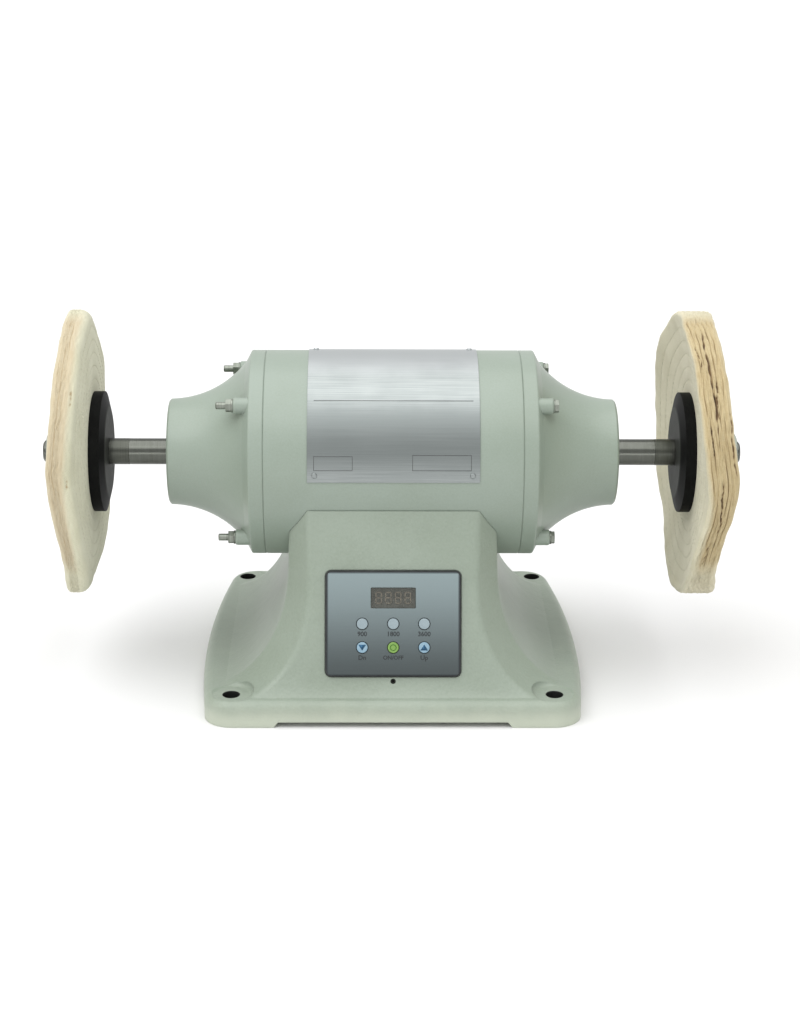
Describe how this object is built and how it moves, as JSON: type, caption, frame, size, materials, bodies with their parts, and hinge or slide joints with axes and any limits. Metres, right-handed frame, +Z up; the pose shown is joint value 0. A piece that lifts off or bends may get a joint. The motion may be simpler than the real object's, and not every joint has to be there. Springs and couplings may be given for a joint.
{
  "type": "bench buffer",
  "caption": "Bench buffing machine: a motor on a cast pedestal with a push-button control panel, turning a cotton buff on each end of its arbor.",
  "frame": {"origin": "on the bench, under the middle of the motor, at the centre of the base", "axes": "+X along the arbor to the right, +Y to the back, away from the control panel, +Z up"},
  "size_m": [0.504, 0.255, 0.2616],
  "materials": {
    "casting_paint": "grey-green hammer paint",
    "motor_paint": "smooth grey-green paint",
    "bare_steel": "ground",
    "dull_steel": "dull turned",
    "zinc_steel": "zinc plated",
    "black_steel": "satin black",
    "electric_steel": "laminated",
    "copper": "varnished wire",
    "cast_aluminium": "as cast",
    "plate_aluminium": "brushed",
    "panel_metal": "brushed blue-grey",
    "cotton": "cream cotton cloth",
    "black_rubber": "matte",
    "window_plastic": "smoked",
    "display_plastic": "dark",
    "board_plastic": "circuit board",
    "switch_plastic": "black",
    "grey_key": "pale grey",
    "blue_key": "blue",
    "green_key": "green",
    "can_plastic": "sleeve",
    "terminal_plastic": "green",
    "gland_plastic": "black nylon"
  },
  "bodies": {
    "frame": {"base_casting": "casting_paint", "bottom_cover": "black_steel", "cover_screws": "zinc_steel", "motor_shell": "motor_paint", "left_end_bell": "motor_paint", "right_end_bell": "motor_paint", "tie_bolts": "zinc_steel", "tie_washers": "zinc_steel", "tie_nuts": "zinc_steel", "stator_core": "electric_steel", "stator_windings": "copper", "lead_grommet": "black_rubber", "motor_mount_bolts": "zinc_steel", "nameplate": "plate_aluminium", "nameplate_rivets": "plate_aluminium", "left_bearing_outer_race": "bare_steel", "right_bearing_outer_race": "bare_steel", "left_bearing_shim": "bare_steel", "right_bearing_shim": "bare_steel", "left_shaft_seal": "black_rubber", "right_shaft_seal": "black_rubber", "panel_gasket": "black_rubber", "panel_faceplate": "panel_metal", "display_window": "window_plastic", "display_module": "display_plastic", "panel_board": "board_plastic", "panel_standoffs": "zinc_steel", "panel_screws": "zinc_steel", "key_switches": "switch_plastic", "panel_set_screw": "black_steel", "drive_board": "board_plastic", "drive_standoffs": "zinc_steel", "heat_sink": "cast_aluminium", "capacitors": "can_plastic", "terminal_block": "terminal_plastic", "cord_gland": "gland_plastic", "gland_nut": "gland_plastic"},
    "rotor": {"arbor_shaft": "bare_steel", "rotor_core": "electric_steel", "rotor_end_rings": "cast_aluminium", "left_bearing_inner_race": "bare_steel", "right_bearing_inner_race": "bare_steel", "left_arbor_spacer": "dull_steel", "right_arbor_spacer": "dull_steel", "left_inner_flange": "black_steel", "right_inner_flange": "black_steel", "left_buff": "cotton", "right_buff": "cotton", "left_outer_flange": "black_steel", "right_outer_flange": "black_steel", "left_arbor_nut": "zinc_steel", "right_arbor_nut": "zinc_steel"},
    "left_ball_cage": {"left_ball_cage": "bare_steel"},
    "right_ball_cage": {"right_ball_cage": "bare_steel"},
    "speed_button_low": {"speed_button_low": "grey_key"},
    "speed_button_mid": {"speed_button_mid": "grey_key"},
    "speed_button_high": {"speed_button_high": "grey_key"},
    "slower_button": {"slower_button": "blue_key"},
    "power_button": {"power_button": "green_key"},
    "faster_button": {"faster_button": "blue_key"}
  },
  "joints": [
    {"name": "rotor_spin", "type": "hinge", "parent": "frame", "child": "rotor", "pos_m": [0, 0, 0.16], "axis": [1, 0, 0], "continuous": true},
    {"name": "left_ball_cage_spin", "type": "hinge", "parent": "frame", "child": "left_ball_cage", "pos_m": [0, 0, 0.16], "axis": [1, 0, 0], "continuous": true},
    {"name": "right_ball_cage_spin", "type": "hinge", "parent": "frame", "child": "right_ball_cage", "pos_m": [0, 0, 0.16], "axis": [1, 0, 0], "continuous": true},
    {"name": "speed_button_low_press", "type": "slide", "parent": "frame", "child": "speed_button_low", "axis": [0, 0.9403, -0.3404], "range_m": [0, 0.0008], "stiffness_N_per_m": 400},
    {"name": "speed_button_mid_press", "type": "slide", "parent": "frame", "child": "speed_button_mid", "axis": [0, 0.9403, -0.3404], "range_m": [0, 0.0008], "stiffness_N_per_m": 400},
    {"name": "speed_button_high_press", "type": "slide", "parent": "frame", "child": "speed_button_high", "axis": [0, 0.9403, -0.3404], "range_m": [0, 0.0008], "stiffness_N_per_m": 400},
    {"name": "slower_button_press", "type": "slide", "parent": "frame", "child": "slower_button", "axis": [0, 0.9403, -0.3404], "range_m": [0, 0.0008], "stiffness_N_per_m": 400},
    {"name": "power_button_press", "type": "slide", "parent": "frame", "child": "power_button", "axis": [0, 0.9403, -0.3404], "range_m": [0, 0.0008], "stiffness_N_per_m": 400},
    {"name": "faster_button_press", "type": "slide", "parent": "frame", "child": "faster_button", "axis": [0, 0.9403, -0.3404], "range_m": [0, 0.0008], "stiffness_N_per_m": 400}
  ],
  "couplings": [
    {"joint": "left_ball_cage_spin", "follows": "rotor_spin", "ratio": 0.3821},
    {"joint": "right_ball_cage_spin", "follows": "rotor_spin", "ratio": 0.3821}
  ]
}
